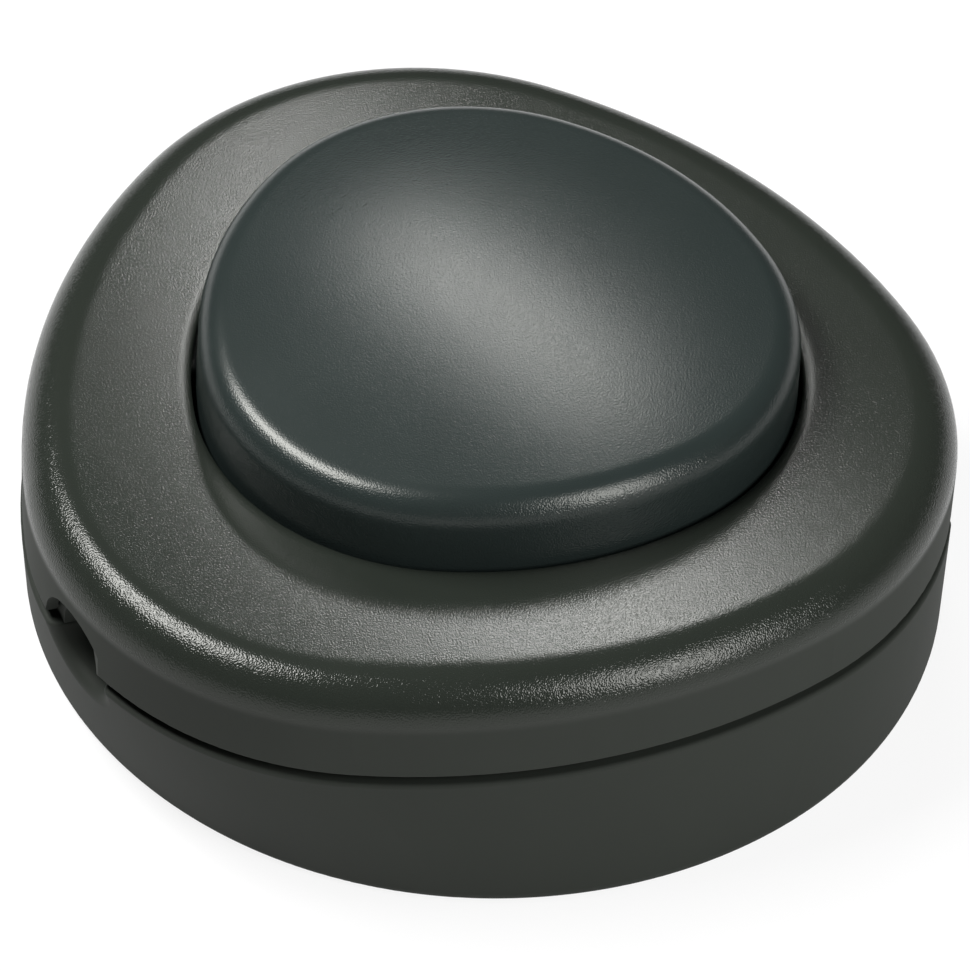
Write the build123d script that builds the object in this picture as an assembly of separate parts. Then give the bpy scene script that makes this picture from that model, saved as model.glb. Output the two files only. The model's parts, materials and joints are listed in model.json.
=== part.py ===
from build123d import *
import math
import os

# In-line lamp foot switch, in millimetres.
# The origin is on the floor, below the axis of the push button.
# +Z is up, the cord runs along X, and +Y points at the housing's back corner.

# Housing outline: a rounded triangle of six tangent arcs
corner_half_span = 39.4
outline_mean_radius = 33.88
outline_corner_radius = 25.1
outline_shift_x = -1.57
outline_shift_y = -1.06
housing_height = 21.25
edge_radius = 3.3
wall = 2.2

# Base: its round foot runs up into the rounded triangle
foot_flare = 0.04
foot_shift_x = 0.55
foot_shift_y = 0.0
foot_edge = 0.95
base_height = 12.5
floor = 2.2

# Joint between base and cover: a shadow gap with a rim behind it
parting_gap = 0.7
parting_edge = 0.3
cover_inset = 0.1
rim_inset = 1.15
rim_height = 2.8
rim_clearance = 0.15

# Cord entries, half in the base and half in the cover
cord_y = -12.4
bore_radius = 3.1
mouth_lip = 0.9
mouth_depth = 1.2
collar_wall = 2.0
collar_clearance = 0.32

# Push button and its opening in the cover
opening_mean_radius = 22.1
opening_corner_radius = 18.3
opening_edge = 0.25
button_gap = 0.37
button_travel = 4.0
button_side_height = 3.51
button_draft = 1.0
button_rim_radius = 2.3
button_crown = 1.9
button_wall = 1.9
lug_width = 9.0
lug_reach = 1.4
lug_height = 1.3
lug_clearance = 0.1

# Push-push drive: a twisted square stem that turns a rotor
turn_per_press = 45.0
guide_radius = 3.5
guide_clearance = 0.1
guide_wall = 1.5
guide_top_clearance = 0.4
stem_side = 4.6
stem_clearance = 0.15
stem_floor_clearance = 0.5
socket_depth = 2.8
socket_wall = 1.5

# Rotor and its bearing ring on the base floor
hub_radius = 4.9
hub_clearance = 0.1
bearing_wall = 1.4
bearing_height = 2.4
rotor_radius = 8.3
rotor_thickness = 3.6
rotor_collar_radius = 4.2
rotor_end_clearance = 0.1
detent_notch_radius = 0.8
detent_count = 8

# Contacts
bridge_thickness = 0.6
bridge_width = 4.0
contact_circle = 6.6
contact_radius = 1.4
contact_height = 0.45
contact_gap = 0.15
leaf_thickness = 0.4
leaf_width = 4.6
leaf_clearance = 0.25

# Frame that holds the drive down on two posts
frame_plate = 1.7
frame_radius = 9.6
frame_screw_y = 12.2

# Return spring around the guide
spring_radius = 6.2
spring_wire = 1.0
spring_turns = 5.0

# Terminals
terminal_x = 16.8
terminal_size_x = 6.4
terminal_size_y = 8.4
neutral_y = -19.6
neutral_length = 15.6
neutral_width = 6.0
neutral_screw_x = 4.6
terminal_pad = 0.8
terminal_clearance = 0.15
wire_hole_radius = 1.4
wire_hole_wall = 1.1
pocket_wall = 1.2
pocket_height = 3.0

# Cord clamps
cord_radius = 3.0
clamp_wall = 1.2
clamp_ear = 1.6
clamp_width = 4.6
clamp_pitch = 6.2
clamp_drop = 1.65
clamp_wall_clearance = 0.15
saddle_wall = 1.4

# Detent spring beside the rotor
detent_leaf = 0.4
detent_height = 3.0
detent_length = 15.0
detent_bump = 0.8
detent_gap = 0.2

# Screws: radius of the shank, radius and height of the head
small_shank = 1.25
small_head = 2.1
small_head_height = 1.5
housing_shank = 1.45
housing_head = 2.8
housing_head_height = 2.0
housing_boss = 3.0
housing_boss_split = 9.0
housing_boss_gap = 0.8
screw_shoulder = 1.3
front_boss_x = 13.6
thread_clearance = 0.05
hole_clearance = 0.2
thread_depth = 5.0
slot_width = 0.7
slot_depth = 0.8

# Sizes that follow from those above
foot_radius = outline_mean_radius + foot_flare
cover_bottom = base_height + parting_gap
cover_under = housing_height - wall
rim_top = base_height + rim_height
cord_z = base_height + parting_gap / 2
button_side_top = housing_height + button_side_height
button_span = opening_mean_radius - button_gap
button_edge_slope = 2 * math.atan(button_crown / button_span)
button_rim_top = button_side_top + button_rim_radius * math.tan(math.pi / 4 - button_edge_slope / 2)
button_under = button_rim_top - button_wall
button_bottom = cover_under - lug_clearance - lug_height
hub_bottom = floor + stem_floor_clearance
rotor_bottom = floor + bearing_height + rotor_end_clearance
rotor_top = rotor_bottom + rotor_thickness
bridge_top = rotor_top + bridge_thickness
tip_bottom = bridge_top + contact_height + contact_gap
leaf_bottom = tip_bottom + contact_height
leaf_top = leaf_bottom + leaf_thickness
frame_bottom = leaf_top + leaf_clearance
frame_top = frame_bottom + frame_plate
socket_bottom = button_under - socket_depth
guide_top = socket_bottom - button_travel - guide_top_clearance
stem_bottom = hub_bottom + button_travel
collar_top = frame_bottom - rotor_end_clearance
stem_top = collar_top + button_travel + stem_floor_clearance
twist_per_mm = turn_per_press / button_travel
clamp_z = cord_z - clamp_drop
ear_bottom = clamp_z
ear_top = ear_bottom + clamp_ear
terminal_bottom = floor + terminal_pad
wire_z = terminal_bottom + wire_hole_wall + wire_hole_radius
screw_recess = housing_head + hole_clearance
screw_seat = housing_head_height + floor / 2


def arc_sizes(mean_radius, corner_radius):
    """Side radius of a rounded triangle, and how far its corner and side arcs' centres lie from the middle."""
    spread = math.radians(60 - corner_half_span)
    side_radius = (60 * mean_radius - corner_half_span * corner_radius) / (60 - corner_half_span)
    corner_distance = (side_radius - corner_radius) * math.sin(spread) / math.sin(math.radians(60))
    side_distance = (side_radius - corner_radius) * math.cos(spread) - corner_distance / 2
    return side_radius, corner_distance, side_distance


def rounded_triangle(mean_radius, corner_radius, inset=0.0):
    """Three corner arcs and three flatter side arcs, all tangent."""
    side_radius, corner_distance, side_distance = arc_sizes(mean_radius, corner_radius)
    side_span = 120 - 2 * corner_half_span
    arcs = []
    for heading in (90, 210, 330):
        corner = Vector(corner_distance, 0).rotate(Axis.Z, heading)
        opposite = Vector(side_distance, 0).rotate(Axis.Z, heading + 240)
        start = heading - corner_half_span
        arcs.append(CenterArc(corner, corner_radius - inset, start, 2 * corner_half_span))
        arcs.append(CenterArc(opposite, side_radius - inset, heading + corner_half_span, side_span))
    return Face(Wire(arcs))


def housing_face(inset=0.0, z=0.0):
    outline = rounded_triangle(outline_mean_radius, outline_corner_radius, inset)
    return Pos(outline_shift_x, outline_shift_y, z) * outline


def foot_face(inset=0.0, z=0.0):
    """Circle in the same six arcs as the housing's outline."""
    return Pos(foot_shift_x, foot_shift_y, z) * rounded_triangle(foot_radius, foot_radius, inset)


def opening_face(inset=0.0, z=0.0):
    return Pos(0, 0, z) * rounded_triangle(opening_mean_radius, opening_corner_radius, inset)


def raise_up(face, height):
    return extrude(face, amount=height, dir=(0, 0, 1))


def post(x, y, radius, bottom, top):
    return Pos(x, y, bottom) * Cylinder(
        radius, top - bottom, align=(Align.CENTER, Align.CENTER, Align.MIN)
    )


def block(x, y, bottom, size_x, size_y, top):
    return Pos(x, y, bottom) * Box(
        size_x, size_y, top - bottom, align=(Align.CENTER, Align.CENTER, Align.MIN)
    )


def lying_rod(radius, start_x, end_x, y, z):
    """Cylinder along X between two X positions."""
    middle = (start_x + end_x) / 2
    return Pos(middle, y, z) * Rot(0, 90, 0) * Cylinder(radius, abs(end_x - start_x))


def outline_x(y, side, inset=0.0):
    """X of the housing's corner arc at a given Y, on the left (-1) or right (+1)."""
    distance = arc_sizes(outline_mean_radius, outline_corner_radius)[1]
    arc_x = outline_shift_x + side * distance * math.cos(math.radians(30))
    arc_y = outline_shift_y - distance * math.sin(math.radians(30))
    return arc_x + side * math.sqrt((outline_corner_radius - inset) ** 2 - (y - arc_y) ** 2)


def boss_places():
    """Housing screws: one in the back corner and two along the bowed front side."""
    keep = wall + housing_boss + housing_boss_gap
    side_radius, corner_distance, side_distance = arc_sizes(outline_mean_radius, outline_corner_radius)
    back_y = outline_shift_y + corner_distance + outline_corner_radius - keep
    places = [(outline_shift_x, back_y)]
    for x in (-front_boss_x, front_boss_x):
        reach = math.sqrt((side_radius - keep) ** 2 - (x - outline_shift_x) ** 2)
        places.append((x, outline_shift_y + side_distance - reach))
    return places


clamp_x = outline_x(cord_y - clamp_pitch, 1, wall + small_head + clamp_wall_clearance)
bore_inner_x = clamp_x + clamp_width / 2 + collar_clearance
clamp_places = [(side * clamp_x, cord_y + turn * clamp_pitch) for side in (-1, 1) for turn in (-1, 1)]
frame_places = [(0, -frame_screw_y), (0, frame_screw_y)]
live_places = [(-terminal_x, 0), (terminal_x, 0)]
neutral_places = [(-neutral_screw_x, neutral_y), (neutral_screw_x, neutral_y)]


def cord_cut(side):
    """Bore of one cord entry, through the wall."""
    inner_x = side * (bore_inner_x - collar_wall)
    return lying_rod(bore_radius, inner_x, outline_x(cord_y, side) + side * wall, cord_y, cord_z)


def mouth_step(side):
    """Wider start of a cord bore, in line with the rounded lip on the other half."""
    wall_x = outline_x(cord_y, side)
    return lying_rod(bore_radius + mouth_lip, wall_x - side * mouth_depth, wall_x + side * wall, cord_y, cord_z)


def mouth_edges(shell):
    """Edges of the cord bores in the outer wall."""
    reach = bore_radius + thread_clearance
    found = []
    for edge in shell.edges():
        middle = edge.position_at(0.5)
        beside = math.hypot(middle.Y - cord_y, middle.Z - cord_z)
        side = math.copysign(1, middle.X)
        outside = side * middle.X > side * outline_x(cord_y, side) - wall / 2
        if outside and bore_radius - thread_clearance < beside < reach and edge.length > bore_radius:
            found.append(edge)
    return found


def collar_block(side, bottom, top):
    """Block inside the wall that gives the cord entry its length."""
    outer_x = outline_x(cord_y, side)
    middle = (side * bore_inner_x + outer_x) / 2
    width = 2 * (bore_radius + collar_wall)
    return block(middle, cord_y, bottom, abs(outer_x - side * bore_inner_x), width, top)


def pocket(x, y, size_x, size_y):
    """Low wall and pad that hold one terminal block."""
    outer = 2 * (terminal_clearance + pocket_wall)
    inner = 2 * terminal_clearance
    top = terminal_bottom + pocket_height
    fence = block(x, y, floor / 2, size_x + outer, size_y + outer, top)
    return fence - block(x, y, terminal_bottom, size_x + inner, size_y + inner, top)


def cord_saddle(side):
    """Notched rib that the clamp presses the cord on."""
    rib = block(
        side * clamp_x, cord_y, floor / 2, clamp_width, 2 * (cord_radius + saddle_wall), clamp_z - saddle_wall
    )
    half = clamp_width
    return rib - lying_rod(cord_radius, side * clamp_x - half, side * clamp_x + half, cord_y, clamp_z)


def detent_y():
    return rotor_radius + detent_gap + detent_bump


def detent_holders():
    """Two slotted posts that grip the ends of the detent spring."""
    grip = 2.0
    top = rotor_bottom + detent_height
    holders = []
    for side in (-1, 1):
        x = side * (detent_length - grip) / 2
        y = detent_y() + detent_leaf / 2
        upright = block(x, y, floor / 2, grip, detent_leaf + 2 * pocket_wall, top)
        slot = block(x, y, rotor_bottom, 2 * grip, detent_leaf + thread_clearance * 2, top)
        holders.append(upright - slot)
    return holders


def build_base():
    outer = Solid.make_loft([foot_face().outer_wire(), housing_face(0, base_height).outer_wire()], True)
    outer = fillet(outer.edges().group_by(Axis.Z)[0], foot_edge)
    for side in (-1, 1):
        outer -= cord_cut(side)
    outer = fillet(mouth_edges(outer), mouth_lip)
    top_arcs = [edge for edge in outer.edges().group_by(Axis.Z)[-1] if edge.geom_type == GeomType.CIRCLE]
    outer = fillet(top_arcs, parting_edge)
    cavity = Solid.make_loft(
        [
            foot_face(wall, floor).outer_wire(),
            housing_face(wall, base_height).outer_wire(),
        ],
        True,
    )
    rim = raise_up(housing_face(rim_inset, base_height) - housing_face(wall, base_height), rim_height)
    inside = [collar_block(side, floor / 2, base_height) for side in (-1, 1)]
    inside += [cord_saddle(side) for side in (-1, 1)]
    inside += [post(x, y, small_head, floor / 2, ear_bottom) for x, y in clamp_places]
    inside += [post(x, y, small_head + 0.3, floor / 2, frame_bottom) for x, y in frame_places]
    inside += [post(x, y, housing_boss, floor / 2, housing_boss_split) for x, y in boss_places()]
    cup = screw_recess + screw_shoulder
    inside += [post(x, y, cup, floor / 2, screw_seat + screw_shoulder) for x, y in boss_places()]
    inside += [pocket(x, y, terminal_size_x, terminal_size_y) for x, y in live_places]
    inside += [pocket(0, neutral_y, neutral_length, neutral_width)]
    inside += detent_holders()
    ring = hub_radius + hub_clearance
    bearing = post(0, 0, ring + bearing_wall, floor / 2, floor + bearing_height)
    inside += [bearing - post(0, 0, ring, floor, floor + bearing_height)]
    base = (outer - cavity) + rim
    for feature in inside:
        base += feature & outer
    for side in (-1, 1):
        base -= cord_cut(side)
    for x, y in clamp_places:
        base -= post(x, y, small_shank + thread_clearance, ear_bottom - thread_depth, ear_bottom)
    for x, y in frame_places:
        base -= post(x, y, small_shank + thread_clearance, frame_bottom - thread_depth, frame_bottom)
    for x, y in boss_places():
        base -= post(x, y, housing_shank + hole_clearance, 0, housing_boss_split)
        base -= post(x, y, screw_recess, 0, screw_seat)
    return base


def build_cover():
    shell = raise_up(housing_face(cover_inset, cover_bottom), housing_height - cover_bottom)
    shell = fillet(shell.edges().group_by(Axis.Z)[-1], edge_radius)
    shell = fillet(shell.edges().group_by(Axis.Z)[0], parting_edge)
    outer = shell
    hollow = raise_up(housing_face(wall, cover_bottom), cover_under - cover_bottom)
    hollow = fillet(hollow.edges().group_by(Axis.Z)[-1], edge_radius - wall)
    shell -= hollow
    for side in (-1, 1):
        shell += collar_block(side, cover_bottom, cover_under) & outer
    for x, y in boss_places():
        shell += post(x, y, housing_boss, housing_boss_split, cover_under + wall / 2)
    rim_room = housing_face(rim_inset - rim_clearance, cover_bottom)
    rim_room -= housing_face(wall + rim_clearance, cover_bottom)
    shell -= raise_up(rim_room, rim_top - cover_bottom)
    for side in (-1, 1):
        shell -= cord_cut(side) + mouth_step(side)
    for x, y in boss_places():
        shell -= post(x, y, housing_shank + thread_clearance, housing_boss_split, cover_under)
    shell -= raise_up(opening_face(0, cover_under - wall), 3 * wall)
    lip = [
        edge
        for edge in shell.edges().group_by(Axis.Z)[-1]
        if is_opening_edge(edge)
    ]
    return fillet(lip, opening_edge)


def is_opening_edge(edge):
    """True for the arcs around the button, which lie inside the flat ring."""
    middle = edge.position_at(0.5)
    return math.hypot(middle.X, middle.Y) < opening_mean_radius + wall


def build_button():
    dome_top = button_rim_top + button_crown
    rise = dome_top - housing_height
    below = raise_up(opening_face(button_gap, button_bottom), housing_height - button_bottom)
    above = extrude(opening_face(button_gap, housing_height), amount=rise, dir=(0, 0, 1), taper=button_draft)
    dome_radius = (button_span**2 + button_crown**2) / (2 * button_crown)
    dome = Pos(0, 0, dome_top - dome_radius) * Sphere(dome_radius)
    body = (below + above) & dome
    rim = [edge for edge in body.edges() if edge.position_at(0.5).Z > button_side_top and not edge.is_closed]
    rim = [edge for edge in rim if abs(edge.position_at(0).Z - edge.position_at(1).Z) < 1.0]
    body = fillet(rim, button_rim_radius)
    hollow = raise_up(opening_face(button_gap + button_wall, button_bottom), button_under - button_bottom)
    body -= hollow
    for heading in (30, 150, 270):
        body += build_lug(heading)
    socket = post(0, 0, guide_radius + socket_wall, socket_bottom, button_under)
    seat_inner = spring_radius + spring_wire
    seat = post(0, 0, seat_inner + socket_wall, button_under - 2 * spring_wire, button_under)
    seat -= post(0, 0, seat_inner, button_under - 2 * spring_wire, button_under)
    body += socket + seat
    return body - post(0, 0, guide_radius, socket_bottom, button_under)


def side_reach():
    """Distance from the button's axis to the middle of a flatter side of its opening."""
    side_radius, corner_distance, side_distance = arc_sizes(opening_mean_radius, opening_corner_radius)
    return side_radius - side_distance


def build_lug(heading):
    """Lug below the cover that keeps the button from lifting out."""
    outer = side_reach() - button_gap + lug_reach
    inner = side_reach() - button_gap - button_wall / 2
    lug = block((outer + inner) / 2, 0, button_bottom, outer - inner, lug_width, button_bottom + lug_height)
    return Rot(0, 0, heading) * lug


def twisted_bar(side, bottom, top):
    """Square bar that turns with height at the drive's lead."""
    section = Rot(0, 0, twist_per_mm * (bottom - stem_bottom)) * Rectangle(side, side).face()
    return Solid.extrude_linear_with_rotation(
        Pos(0, 0, bottom) * section, (0, 0, bottom), (0, 0, top - bottom), twist_per_mm * (top - bottom)
    )


def build_plunger():
    shank = post(0, 0, guide_radius, stem_top, button_under)
    return shank + twisted_bar(stem_side, stem_bottom, stem_top)


def build_frame():
    plate = post(0, 0, frame_radius, frame_bottom, frame_top)
    ear = small_head + 0.3
    for x, y in frame_places:
        plate += post(x, y, ear, frame_bottom, frame_top)
    plate += block(0, 0, frame_bottom, 2 * ear, 2 * frame_screw_y, frame_top)
    bore = guide_radius + guide_clearance
    plate += post(0, 0, bore + guide_wall, frame_bottom, guide_top)
    plate -= post(0, 0, bore, frame_bottom, guide_top)
    for x, y in frame_places:
        plate -= post(x, y, small_shank + hole_clearance, frame_bottom, frame_top)
    return plate


def build_rotor():
    rotor = post(0, 0, hub_radius, hub_bottom, rotor_bottom)
    rotor += post(0, 0, rotor_radius, rotor_bottom, rotor_top)
    rotor += post(0, 0, rotor_collar_radius, rotor_top, collar_top)
    for step in range(detent_count):
        notch = post(rotor_radius, 0, detent_notch_radius, rotor_bottom, rotor_top)
        rotor -= Rot(0, 0, 360 / detent_count * step) * notch
    return rotor - twisted_bar(stem_side + 2 * stem_clearance, hub_bottom, frame_bottom)


def build_bridge():
    """Strip with a round eye that carries the moving contacts."""
    strip = block(0, 0, rotor_top, bridge_width, 2 * contact_circle, bridge_top)
    for side in (-1, 1):
        strip += post(0, side * contact_circle, contact_radius, rotor_top, bridge_top)
    strip += post(0, 0, rotor_collar_radius + bridge_width / 4, rotor_top, bridge_top)
    return strip - post(0, 0, rotor_collar_radius + thread_clearance, rotor_top, bridge_top)


def build_bridge_contacts():
    top = bridge_top + contact_height
    return [post(0, side * contact_circle, contact_radius, bridge_top, top) for side in (-1, 1)]


def build_leaf(side):
    """Fixed contact strip, clamped on its terminal and reaching over the rotor."""
    start = terminal_x + terminal_size_x / 2
    middle = side * (start + contact_circle) / 2
    leaf = block(middle, 0, leaf_bottom, start - contact_circle, leaf_width, leaf_top)
    leaf += post(side * contact_circle, 0, leaf_width / 2, leaf_bottom, leaf_top)
    return leaf - post(side * terminal_x, 0, small_shank + hole_clearance, leaf_bottom, leaf_top)


def build_fixed_contacts():
    return [post(side * contact_circle, 0, contact_radius, tip_bottom, leaf_bottom) for side in (-1, 1)]


def build_terminal(x, y, size_x, size_y, screws):
    """Brass block with a wire hole below each clamping screw."""
    terminal = block(x, y, terminal_bottom, size_x, size_y, leaf_bottom)
    for screw_x, screw_y in screws:
        terminal -= post(screw_x, screw_y, small_shank + thread_clearance, wire_z, leaf_bottom)
        hole = Pos(screw_x, screw_y, wire_z) * Rot(90, 0, 0)
        terminal -= hole * Cylinder(wire_hole_radius, 2 * size_y)
    return terminal


def small_screw(x, y, seat, depth):
    """Slotted screw with its head standing on the seat."""
    screw = post(x, y, small_head, seat, seat + small_head_height)
    screw += post(x, y, small_shank, seat - depth, seat)
    top = seat + small_head_height
    return screw - block(x, y, top - slot_depth, 3 * small_head, slot_width, top)


def build_clamp(side):
    """Saddle strap over the cord, with an ear and screw hole on either side."""
    arch = cord_radius + clamp_wall
    half = clamp_width / 2
    x = side * clamp_x
    strap = lying_rod(arch, x - half, x + half, cord_y, clamp_z)
    strap += block(x, cord_y, ear_bottom, clamp_width, 2 * clamp_pitch, ear_top)
    for turn in (-1, 1):
        strap += post(x, cord_y + turn * clamp_pitch, small_head, ear_bottom, ear_top)
    strap -= lying_rod(cord_radius, x - half, x + half, cord_y, clamp_z)
    strap -= block(x, cord_y, ear_bottom - 2 * arch, 2 * clamp_width, 4 * clamp_pitch, ear_bottom)
    for turn in (-1, 1):
        y = cord_y + turn * clamp_pitch
        strap -= post(x, y, small_shank + hole_clearance, ear_bottom, ear_top)
    return strap


def build_housing_screws():
    """Cross-recess screws, put in from below."""
    screws = []
    bottom = screw_seat - housing_head_height
    tip = cover_under - 2 * thread_clearance
    for x, y in boss_places():
        screw = post(x, y, housing_head, bottom, screw_seat)
        screw += post(x, y, housing_shank, screw_seat, tip)
        for size_x, size_y in ((2 * housing_shank, slot_width), (slot_width, 2 * housing_shank)):
            screw -= block(x, y, bottom, size_x, size_y, bottom + slot_depth)
        screws.append(screw)
    return screws


def build_detent_spring():
    """Flat strip with a round nose that faces the rotor's notches."""
    y = detent_y()
    top = rotor_bottom + detent_height
    strip = block(0, y + detent_leaf / 2, rotor_bottom, detent_length, detent_leaf, top)
    nose = post(0, y, detent_bump, rotor_bottom, top)
    return strip + (nose - block(0, y + detent_bump, rotor_bottom, 4 * detent_bump, 2 * detent_bump, top))


def build_spring():
    bottom = frame_top + spring_wire / 2
    height = button_under - frame_top - spring_wire
    path = Pos(0, 0, bottom) * Helix(height / spring_turns, height, spring_radius)
    section = Plane(path.position_at(0), z_dir=path.tangent_at(0)) * Circle(spring_wire / 2)
    return sweep(section, path=path, is_frenet=True)


live_in, live_out = live_places
terminal_screw_places = [(x, y, leaf_top) for x, y in live_places]
terminal_screw_places += [(x, y, leaf_bottom) for x, y in neutral_places]

nodes = {
    "base_shell": build_base(),
    "top_cover": build_cover(),
    "push_button": build_button(),
    "plunger": build_plunger(),
    "return_spring": build_spring(),
    "mechanism_frame": build_frame(),
    "frame_screws": [small_screw(x, y, frame_top, thread_depth) for x, y in frame_places],
    "switch_rotor": build_rotor(),
    "contact_bridge": build_bridge(),
    "bridge_contacts": build_bridge_contacts(),
    "live_in_contact": build_leaf(-1),
    "live_out_contact": build_leaf(1),
    "fixed_contacts": build_fixed_contacts(),
    "live_in_terminal": build_terminal(*live_in, terminal_size_x, terminal_size_y, [live_in]),
    "live_out_terminal": build_terminal(*live_out, terminal_size_x, terminal_size_y, [live_out]),
    "neutral_terminal": build_terminal(0, neutral_y, neutral_length, neutral_width, neutral_places),
    "terminal_screws": [
        small_screw(x, y, seat, seat - wire_z - wire_hole_radius / 2) for x, y, seat in terminal_screw_places
    ],
    "cord_clamp_left": build_clamp(-1),
    "cord_clamp_right": build_clamp(1),
    "clamp_screws": [small_screw(x, y, ear_top, thread_depth) for x, y in clamp_places],
    "housing_screws": build_housing_screws(),
    "detent_spring": build_detent_spring(),
}

os.makedirs("parts", exist_ok=True)
for name, shape in nodes.items():
    solids = shape if isinstance(shape, list) else [shape]
    export_step(Compound(children=[Compound(piece.solids()) for piece in solids]), f"parts/{name}.step")
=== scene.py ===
import json
import math
from collections import namedtuple

import bpy
from mathutils import Matrix, Vector


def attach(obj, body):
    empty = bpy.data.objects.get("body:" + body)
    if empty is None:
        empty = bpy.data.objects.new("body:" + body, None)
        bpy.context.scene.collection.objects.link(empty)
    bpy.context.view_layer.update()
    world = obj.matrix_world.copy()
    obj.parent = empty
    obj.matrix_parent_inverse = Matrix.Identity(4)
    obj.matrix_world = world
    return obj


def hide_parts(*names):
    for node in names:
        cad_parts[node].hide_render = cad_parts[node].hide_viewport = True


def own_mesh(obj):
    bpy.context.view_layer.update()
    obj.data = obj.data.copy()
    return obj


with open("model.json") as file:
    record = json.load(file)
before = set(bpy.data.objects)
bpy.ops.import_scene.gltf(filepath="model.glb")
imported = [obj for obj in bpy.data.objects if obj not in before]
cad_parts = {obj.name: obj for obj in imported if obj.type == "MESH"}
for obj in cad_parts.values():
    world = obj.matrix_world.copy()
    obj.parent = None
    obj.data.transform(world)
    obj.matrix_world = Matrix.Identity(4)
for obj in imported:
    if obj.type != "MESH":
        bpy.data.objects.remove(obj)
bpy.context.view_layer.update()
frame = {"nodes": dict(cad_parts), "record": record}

nodes = frame["nodes"]
record = frame["record"]
scene = bpy.context.scene
MM = 0.001

# Clouds in the colour and gloss of every surface
CLOUD_SCALE = 120.0
CLOUD_DETAIL = 6.0
COLOR_SPREAD = 0.08
GLOSS_SPREAD = 0.07

# Cover: the ring and its rounded edge have a moulded grain, the upright walls are satin
GRAIN_START = 17.4 * MM
GRAIN_FULL = 18.6 * MM
WALL_GRAIN = 0.02
EDGE_SAMPLES = 8

# Sockets of a Mix node that mixes colours
MIX_FACTOR, MIX_A, MIX_B, MIX_RESULT = 0, 6, 7, 2

# Bump: cells per metre, strength, depth
Grain = namedtuple("Grain", "scale strength depth")
# Rounded edge: the grain is so many times deeper below low and plain above high, and the shading
# of corners is softened within reach
Edge = namedtuple("Edge", "low high times reach")
# Finish below the grain's start
Satin = namedtuple("Satin", "roughness specular")


def node(tree, kind, **inputs):
    """New shader node with its sockets set, by name, to values or to other nodes' outputs."""
    made = tree.nodes.new(kind)
    for name, value in inputs.items():
        socket = made.inputs[name.replace("_", " ")]
        if isinstance(value, bpy.types.NodeSocket):
            tree.links.new(value, socket)
        else:
            socket.default_value = value
    return made


def ramp(tree, value, low, high):
    """Output that goes from low to high as value goes from zero to one."""
    return node(tree, "ShaderNodeMapRange", Value=value, To_Min=low, To_Max=high).outputs["Result"]


def material(
    name,
    color,
    roughness,
    grain,
    metallic=0.0,
    specular=0.5,
    tint=(1.0, 1.0, 1.0),
    edge=None,
    satin=None,
):
    """Moulded or metal surface: clouded colour, uneven gloss and a fine bump.

    A satin finish goes with an edge.
    """
    mat = bpy.data.materials.new(name)
    mat.use_nodes = True
    tree = mat.node_tree
    link = tree.links.new
    shader = tree.nodes["Principled BSDF"]
    shader.inputs["Metallic"].default_value = metallic
    shader.inputs["Specular IOR Level"].default_value = specular
    shader.inputs["Specular Tint"].default_value = (*tint, 1.0)

    place = node(tree, "ShaderNodeTexCoord").outputs["Object"]
    noise = node(tree, "ShaderNodeTexNoise", Vector=place, Scale=CLOUD_SCALE, Detail=CLOUD_DETAIL)
    cloud = noise.outputs["Fac"]
    shade = node(tree, "ShaderNodeMix")
    shade.data_type = "RGBA"
    darker = [c * (1.0 - COLOR_SPREAD) for c in color]
    lighter = [min(1.0, c * (1.0 + COLOR_SPREAD)) for c in color]
    shade.inputs[MIX_A].default_value = (*darker, 1.0)
    shade.inputs[MIX_B].default_value = (*lighter, 1.0)
    link(cloud, shade.inputs[MIX_FACTOR])
    link(shade.outputs[MIX_RESULT], shader.inputs["Base Color"])
    gloss = ramp(tree, cloud, roughness * (1.0 - GLOSS_SPREAD), roughness * (1.0 + GLOSS_SPREAD))

    cells = node(tree, "ShaderNodeTexNoise", Vector=place, Scale=grain.scale, Detail=0.0)
    bump = node(tree, "ShaderNodeBump", Height=cells.outputs["Fac"])
    bump.inputs["Strength"].default_value = grain.strength
    bump.inputs["Distance"].default_value = grain.depth
    if edge:
        height = node(tree, "ShaderNodeSeparateXYZ", Vector=place).outputs["Z"]
        soft = node(tree, "ShaderNodeBevel", Radius=edge.reach)
        soft.samples = EDGE_SAMPLES
        link(soft.outputs["Normal"], bump.inputs["Normal"])
        deep = node(tree, "ShaderNodeMapRange", Value=height, From_Min=edge.low, From_Max=edge.high)
        deep.inputs["To Min"].default_value = grain.depth * edge.times
        deep.inputs["To Max"].default_value = grain.depth
        link(deep.outputs["Result"], bump.inputs["Distance"])
    if satin:
        fade = node(tree, "ShaderNodeMapRange", Value=height)
        fade.inputs["From Min"].default_value = GRAIN_START
        fade.inputs["From Max"].default_value = GRAIN_FULL
        fade.interpolation_type = "SMOOTHSTEP"
        top = fade.outputs["Result"]
        gloss = ramp(tree, top, satin.roughness, gloss)
        link(ramp(tree, top, satin.specular, specular), shader.inputs["Specular IOR Level"])
        link(ramp(tree, top, 0.0, edge.reach), soft.inputs["Radius"])
        faint = grain.strength * WALL_GRAIN
        link(ramp(tree, top, faint, grain.strength), bump.inputs["Strength"])
    link(gloss, shader.inputs["Roughness"])
    link(bump.outputs["Normal"], shader.inputs["Normal"])
    return mat


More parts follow.
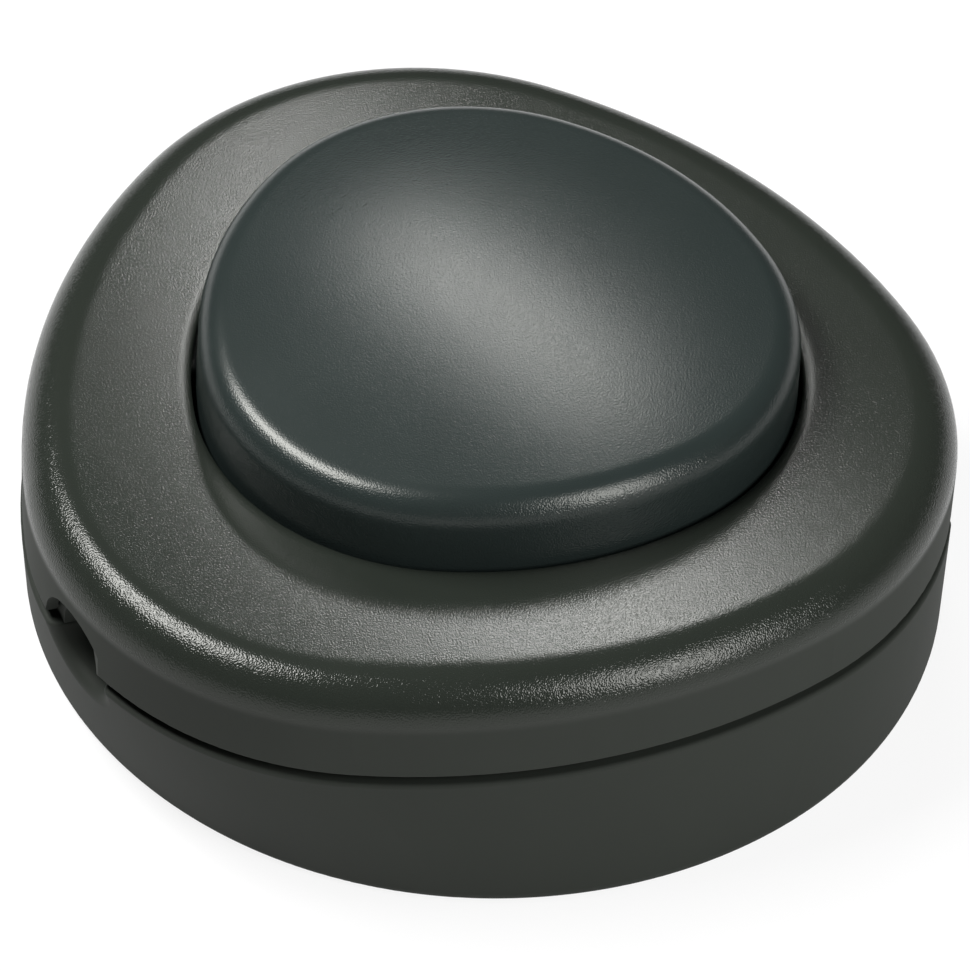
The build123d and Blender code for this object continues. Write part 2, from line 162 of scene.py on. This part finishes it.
NYLON = Grain(900, 0.1, 0.02 * MM)
METAL = Grain(1500, 0.1, 0.01 * MM)
finishes = {
    "housing_plastic": dict(
        color=(0.0162, 0.0195, 0.0158),
        roughness=0.16,
        grain=Grain(8700, 1.0, 0.0092 * MM),
        specular=0.3,
        tint=(1.0, 1.0, 0.96),
        edge=Edge(21.0 * MM, 21.22 * MM, 3.2, 1.3 * MM),
        satin=Satin(0.75, 0.28),
    ),
    "button_plastic": dict(
        color=(0.0155, 0.0215, 0.0205),
        roughness=0.25,
        grain=Grain(8500, 1.0, 0.0105 * MM),
        specular=0.36,
        tint=(1.0, 1.0, 0.945),
        edge=Edge(26.0 * MM, 26.8 * MM, 2.8, 0.8 * MM),
    ),
    "white_plastic": dict(color=(0.78, 0.77, 0.72), roughness=0.45, grain=NYLON),
    "rotor_plastic": dict(color=(0.42, 0.12, 0.07), roughness=0.45, grain=NYLON),
    "spring_steel": dict(color=(0.56, 0.56, 0.57), roughness=0.3, grain=METAL, metallic=1.0),
    "zinc_steel": dict(color=(0.66, 0.66, 0.64), roughness=0.32, grain=METAL, metallic=1.0),
    "brass": dict(color=(0.72, 0.55, 0.24), roughness=0.3, grain=METAL, metallic=1.0),
    "contact_silver": dict(color=(0.85, 0.85, 0.84), roughness=0.2, grain=METAL, metallic=1.0),
}
looks = {name: material(name, **finish) for name, finish in finishes.items()}
for entry in record["subparts"]:
    materials = nodes[entry["node"]].data.materials
    materials.clear()
    materials.append(looks[entry["material_slot"]])

# The return spring is drawn as its own copy of the mesh, attached to the housing, and the original
# part is hidden
coil = bpy.data.objects.new("return_spring_coil", nodes["return_spring"].data.copy())
scene.collection.objects.link(coil)
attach(coil, "housing")
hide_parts("return_spring")
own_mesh(coil)


def aim(obj, target, azimuth, elevation, turn, distance):
    """Put obj at a heading, elevation and distance from target, facing it, turned on that line."""
    a, e, t = (math.radians(angle) for angle in (azimuth, elevation, turn))
    away = Vector((math.sin(a) * math.cos(e), -math.cos(a) * math.cos(e), math.sin(e)))
    across = Vector((math.cos(a), math.sin(a), 0.0))
    right = across * math.cos(t) + away.cross(across) * math.sin(t)
    axes = Matrix((right, away.cross(right), away)).transposed().to_4x4()
    obj.matrix_world = Matrix.Translation(target + away * distance) @ axes
    scene.collection.objects.link(obj)


# Camera at the photograph's viewing angle, on an image of 970 by 971
CAMERA_TARGET = Vector((-0.705, -2.633, 11.0)) * MM
CAMERA_DISTANCE = 539.85 * MM
FRAME_WIDTH = 70.67 * MM
SENSOR = 36.0
CLIP_START = 10.0 * MM
lens = bpy.data.cameras.new("camera")
lens.sensor_width = SENSOR
lens.sensor_fit = "HORIZONTAL"
lens.lens = SENSOR * CAMERA_DISTANCE / FRAME_WIDTH
lens.clip_start = CLIP_START
camera = bpy.data.objects.new("camera", lens)
aim(
    camera,
    CAMERA_TARGET,
    azimuth=-20.29,
    elevation=44.67,
    turn=3.43,
    distance=CAMERA_DISTANCE,
)
scene.camera = camera
scene.view_settings.view_transform = "Standard"

# White paper floor: the camera and reflections see it almost white, and it keeps a faint shadow
FLOOR_HALF = 3.0
PAPER_SHARE = 0.15
PAPER_COLOR = (0.95, 0.95, 0.95, 1.0)
PAPER_ROUGHNESS = 0.9
floor_mesh = bpy.data.meshes.new("floor")
corners = [(-1, -1), (1, -1), (1, 1), (-1, 1)]
points = [(x * FLOOR_HALF, y * FLOOR_HALF, 0.0) for x, y in corners]
floor_mesh.from_pydata(points, [], [(0, 1, 2, 3)])
floor = bpy.data.objects.new("floor", floor_mesh)
scene.collection.objects.link(floor)


def seen_white(tree):
    """Factor that is one for camera, glossy and transmission rays."""
    path = tree.nodes.new("ShaderNodeLightPath")
    total = path.outputs["Is Camera Ray"]
    for kind in ("Is Glossy Ray", "Is Transmission Ray"):
        larger = tree.nodes.new("ShaderNodeMath")
        larger.operation = "MAXIMUM"
        tree.links.new(total, larger.inputs[0])
        tree.links.new(path.outputs[kind], larger.inputs[1])
        total = larger.outputs[0]
    return total


paper = bpy.data.materials.new("paper")
paper.use_nodes = True
paper_tree = paper.node_tree
sheet = paper_tree.nodes["Principled BSDF"]
sheet.inputs["Base Color"].default_value = PAPER_COLOR
sheet.inputs["Roughness"].default_value = PAPER_ROUGHNESS
sheet.inputs["Specular IOR Level"].default_value = 0.0
white = paper_tree.nodes.new("ShaderNodeEmission")
share = ramp(paper_tree, seen_white(paper_tree), 0.0, 1.0 - PAPER_SHARE)
blend = paper_tree.nodes.new("ShaderNodeMixShader")
paper_tree.links.new(share, blend.inputs[0])
paper_tree.links.new(sheet.outputs[0], blend.inputs[1])
paper_tree.links.new(white.outputs[0], blend.inputs[2])
paper_tree.links.new(blend.outputs[0], paper_tree.nodes["Material Output"].inputs["Surface"])
floor_mesh.materials.append(paper)

# Soft boxes, each aimed at the top of the switch
LAMP_TARGET = Vector((0.0, 0.0, 21.0)) * MM


def soft_box(name, size, power, **pose):
    """Rectangular lamp of a size in metres."""
    data = bpy.data.lights.new(name, "AREA")
    data.shape = "RECTANGLE"
    data.size, data.size_y = size
    data.energy = power
    aim(bpy.data.objects.new(name, data), LAMP_TARGET, **pose)


soft_box(
    "back_strip",
    (95 * MM, 14 * MM),
    0.112,
    azimuth=157.3,
    elevation=48.6,
    turn=136.0,
    distance=197 * MM,
)
soft_box(
    "left_box",
    (175 * MM, 75 * MM),
    1.05,
    azimuth=-118.0,
    elevation=58.0,
    turn=31.0,
    distance=250 * MM,
)
soft_box(
    "front_strip",
    (130 * MM, 55 * MM),
    0.3,
    azimuth=24.0,
    elevation=27.5,
    turn=90.0,
    distance=200 * MM,
)

# Weak even light from the room
ROOM_LEVEL = 0.06
world = bpy.data.worlds.new("studio")
world.use_nodes = True
room = world.node_tree.nodes["Background"]
room.inputs["Color"].default_value = (1.0, 1.0, 1.0, 1.0)
room.inputs["Strength"].default_value = ROOM_LEVEL
scene.world = world
